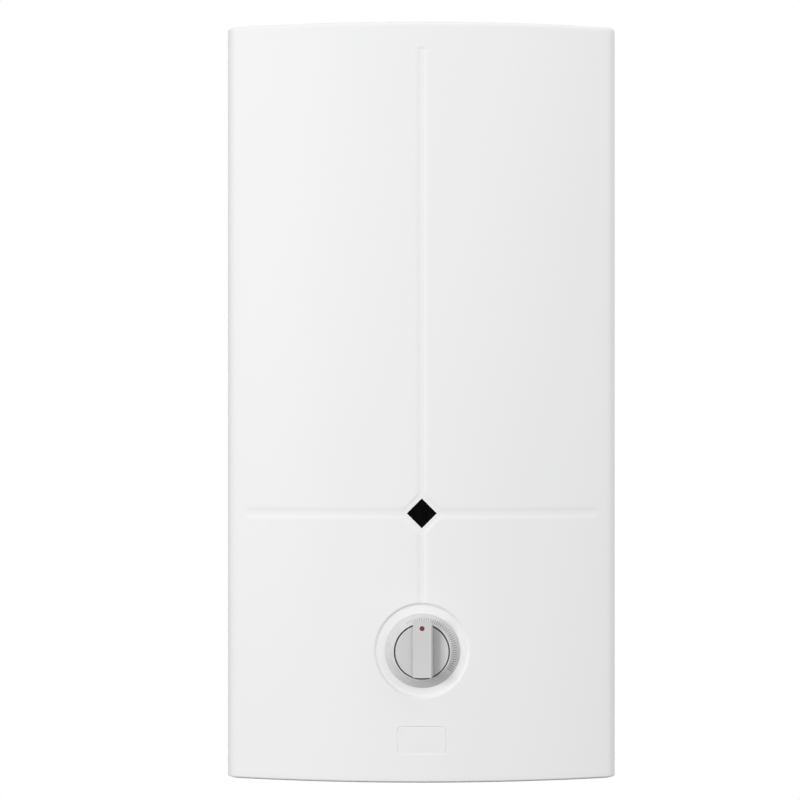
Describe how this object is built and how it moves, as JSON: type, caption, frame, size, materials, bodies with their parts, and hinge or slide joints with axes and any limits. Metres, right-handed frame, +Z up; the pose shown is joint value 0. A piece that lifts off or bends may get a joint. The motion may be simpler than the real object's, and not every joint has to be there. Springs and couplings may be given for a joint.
{
  "type": "gas water heater",
  "caption": "Wall-hung open-flue gas water heater with a bowed white enamelled cover, a diamond sight window and a turn-and-push control knob.",
  "frame": {"origin": "midway between the two upper hanging slots, on the wall face of the back plate", "axes": "+X to the right seen from the front, +Y into the wall, +Z up"},
  "size_m": [0.3044, 0.2386, 0.592],
  "materials": {
    "white_enamel": "gloss",
    "zinc_plate": "satin",
    "copper": "satin",
    "brass": "satin",
    "steel": "satin",
    "stainless": "satin",
    "valve_casting": "satin",
    "grey_plastic": "matte",
    "light_grey_plastic": "matte",
    "white_plastic": "satin",
    "black_plastic": "matte",
    "red_mark": "gloss",
    "dark_glass": "gloss",
    "white_ceramic": "gloss",
    "rubber": "matte"
  },
  "bodies": {
    "root": {"back_plate": "zinc_plate", "front_cover": "white_enamel", "cover_screws": "steel", "dial_ring": "light_grey_plastic", "badge_plate": "white_plastic", "window_glass": "dark_glass", "window_frame": "black_plastic", "draught_hood": "zinc_plate", "hood_baffle": "zinc_plate", "flue_collar": "zinc_plate", "flue_sensor": "black_plastic", "hood_brackets": "zinc_plate", "chamber_shell": "copper", "fin_stack": "copper", "fin_tubes": "copper", "return_bends": "copper", "water_coil": "copper", "overheat_thermostat": "black_plastic", "chamber_brackets": "zinc_plate", "burner_blades": "stainless", "burner_frame": "zinc_plate", "gas_manifold": "valve_casting", "injectors": "brass", "pilot_burner": "stainless", "pilot_bracket": "zinc_plate", "spark_electrode": "white_ceramic", "electrode_wire": "steel", "thermocouple_probe": "stainless", "pilot_tube": "copper", "thermocouple_lead": "copper", "ignition_lead": "rubber", "valve_bracket": "zinc_plate", "gas_valve_body": "valve_casting", "gas_valve_lid": "valve_casting", "valve_screws": "steel", "return_spring": "steel", "safety_spring": "steel", "magnet_housing": "brass", "igniter_body": "black_plastic", "water_valve_body": "brass", "water_valve_cover": "brass", "diaphragm": "rubber", "gas_disc_spring": "steel", "water_screws": "steel", "cold_inlet": "brass", "hot_outlet": "brass", "gas_inlet": "brass", "union_nuts": "brass", "cold_pipe": "copper", "hot_pipe": "copper", "drain_plug": "brass"},
    "plug": {"gas_plug": "brass"},
    "knob": {"knob": "grey_plastic", "knob_dot": "red_mark", "spindle": "steel", "push_disc": "zinc_plate"},
    "safety_stem": {"safety_valve_stem": "steel"},
    "plunger": {"igniter_plunger": "black_plastic"},
    "water_rod": {"push_rod": "brass", "main_gas_disc": "rubber"}
  },
  "joints": [
    {"name": "knob_turn", "type": "hinge", "parent": "root", "child": "plug", "pos_m": [0, -0.17, -0.434], "axis": [0, 1, 0], "range_deg": [-60, 120]},
    {"name": "knob_push", "type": "slide", "parent": "plug", "child": "knob", "axis": [0, 1, 0], "range_m": [0, 0.005], "stiffness_N_per_m": 1500, "springref_m": -0.003, "deforming": ["return_spring"]},
    {"name": "safety_valve_slide", "type": "slide", "parent": "root", "child": "safety_stem", "axis": [0, 1, 0], "range_m": [0, 0.005], "deforming": ["safety_spring"]},
    {"name": "igniter_plunger_slide", "type": "slide", "parent": "root", "child": "plunger", "axis": [0, 1, 0], "range_m": [0, 0.005]},
    {"name": "water_rod_slide", "type": "slide", "parent": "root", "child": "water_rod", "axis": [-1, 0, 0], "range_m": [0, 0.004], "stiffness_N_per_m": 600, "springref_m": -0.002, "deforming": ["gas_disc_spring"]}
  ],
  "couplings": [
    {"joint": "safety_valve_slide", "follows": "knob_push", "ratio": 1},
    {"joint": "igniter_plunger_slide", "follows": "knob_push", "ratio": 1}
  ]
}
